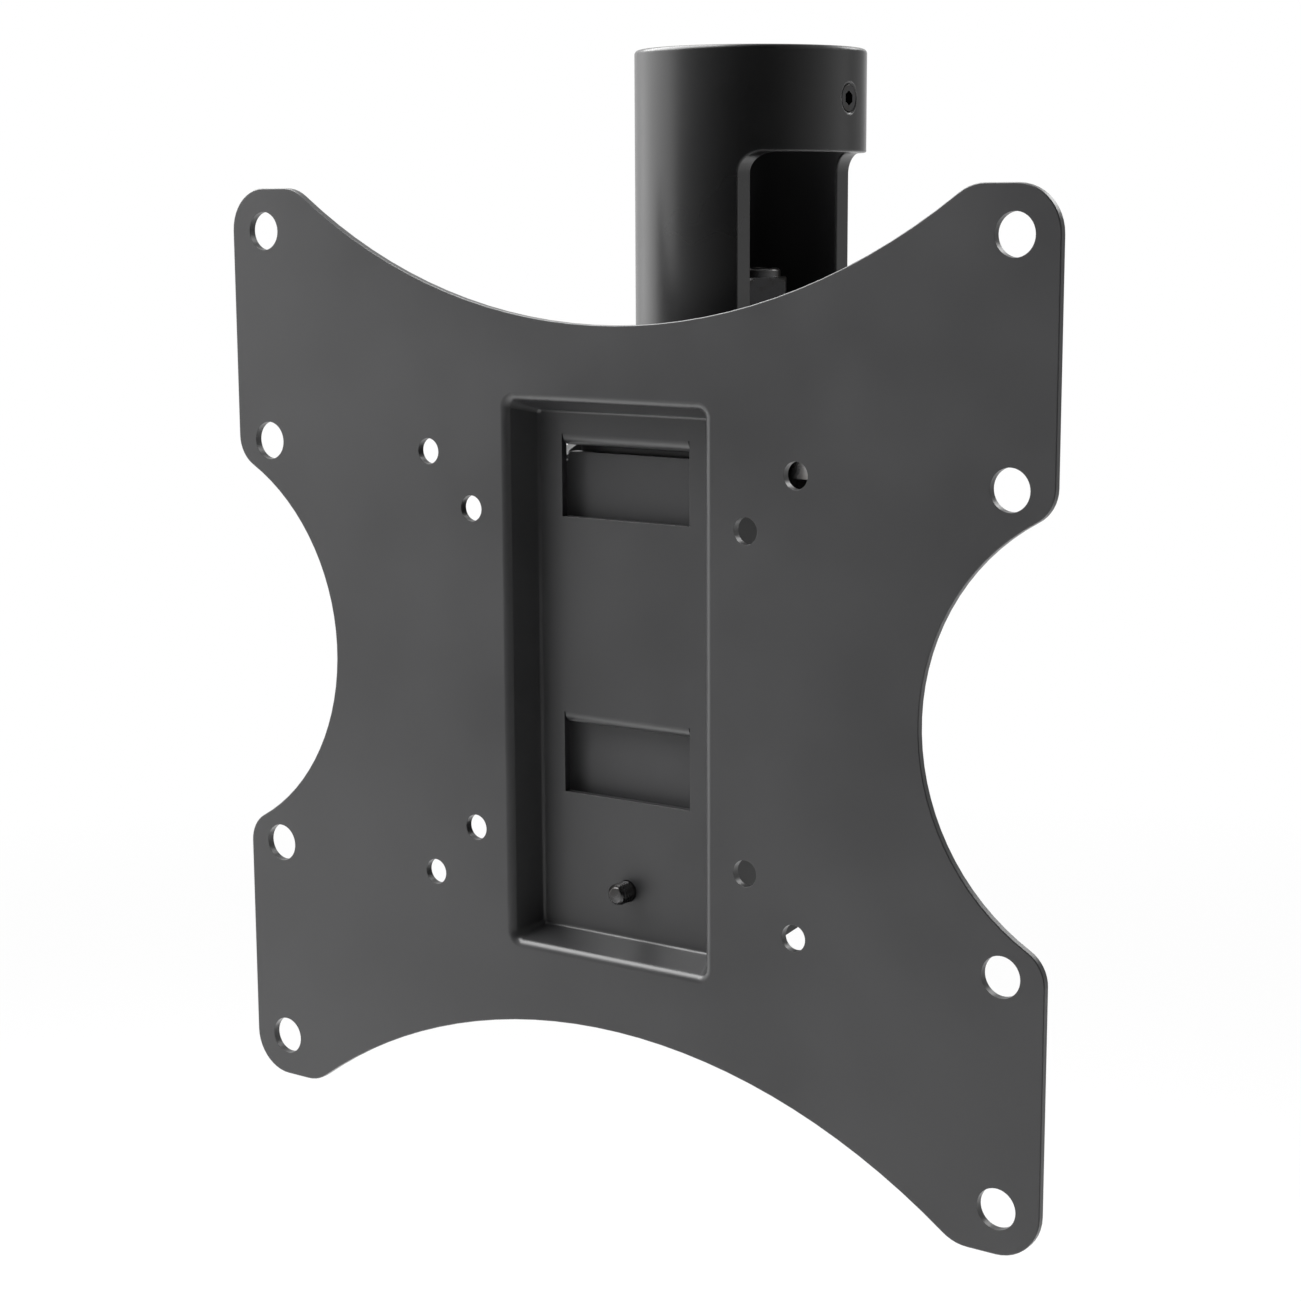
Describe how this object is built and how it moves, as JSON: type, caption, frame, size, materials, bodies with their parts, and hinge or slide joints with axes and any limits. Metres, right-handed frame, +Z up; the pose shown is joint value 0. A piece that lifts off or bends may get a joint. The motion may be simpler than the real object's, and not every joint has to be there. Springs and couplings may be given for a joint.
{
  "type": "tv ceiling mount",
  "caption": "Ceiling-pole mount for a flat screen: a clamp socket with a cable window over a swivel yoke, a tilting bracket and a hooked-on screen plate with a pressed recess.",
  "frame": {"origin": "centre of the pole socket's mouth, on the axis of the pole", "axes": "+Z up along the pole, -Y towards the screen, +X on the side of the cable window"},
  "size_m": [0.22, 0.0861, 0.251],
  "materials": {
    "socket_coat": "fine matt black powder coat on cast metal",
    "bracket_coat": "fine matt black powder coat on folded steel",
    "plate_coat": "satin black powder coat on pressed steel sheet",
    "zinc_steel": "bright zinc-plated steel",
    "black_steel": "black oxide steel",
    "nylon": "natural nylon"
  },
  "bodies": {
    "socket": {"pole_socket": "socket_coat", "pole_grub_screws": "black_steel", "swivel_bolt": "black_steel", "swivel_lock_nut": "black_steel", "swivel_nut_insert": "nylon", "swivel_upper_washer": "black_steel", "swivel_lower_washer": "black_steel", "swivel_friction_washer": "nylon"},
    "yoke": {"swivel_yoke": "bracket_coat", "tilt_bolt": "zinc_steel", "tilt_lock_nut": "zinc_steel", "tilt_nut_insert": "nylon", "tilt_head_washer": "zinc_steel", "tilt_nut_washer": "zinc_steel", "tilt_spacer_tube": "zinc_steel", "tilt_friction_washer_left": "nylon", "tilt_friction_washer_right": "nylon", "tilt_slide_washer_left": "nylon", "tilt_slide_washer_right": "nylon", "tilt_lock_screw_left": "zinc_steel", "tilt_lock_screw_right": "zinc_steel", "tilt_lock_washer_left": "zinc_steel", "tilt_lock_washer_right": "zinc_steel", "tilt_weld_nut_left": "zinc_steel", "tilt_weld_nut_right": "zinc_steel"},
    "screen_bracket": {"tilt_bracket": "bracket_coat", "vesa_plate": "plate_coat", "plate_locking_screw": "black_steel", "plate_locking_washer": "black_steel"}
  },
  "joints": [
    {"name": "swivel", "type": "hinge", "parent": "socket", "child": "yoke", "pos_m": [0, 0, -0.0695], "axis": [0, 0, 1], "continuous": true},
    {"name": "tilt", "type": "hinge", "parent": "yoke", "child": "screen_bracket", "pos_m": [0, -0.0151, -0.096], "axis": [1, 0, 0], "range_deg": [-5, 15]}
  ]
}
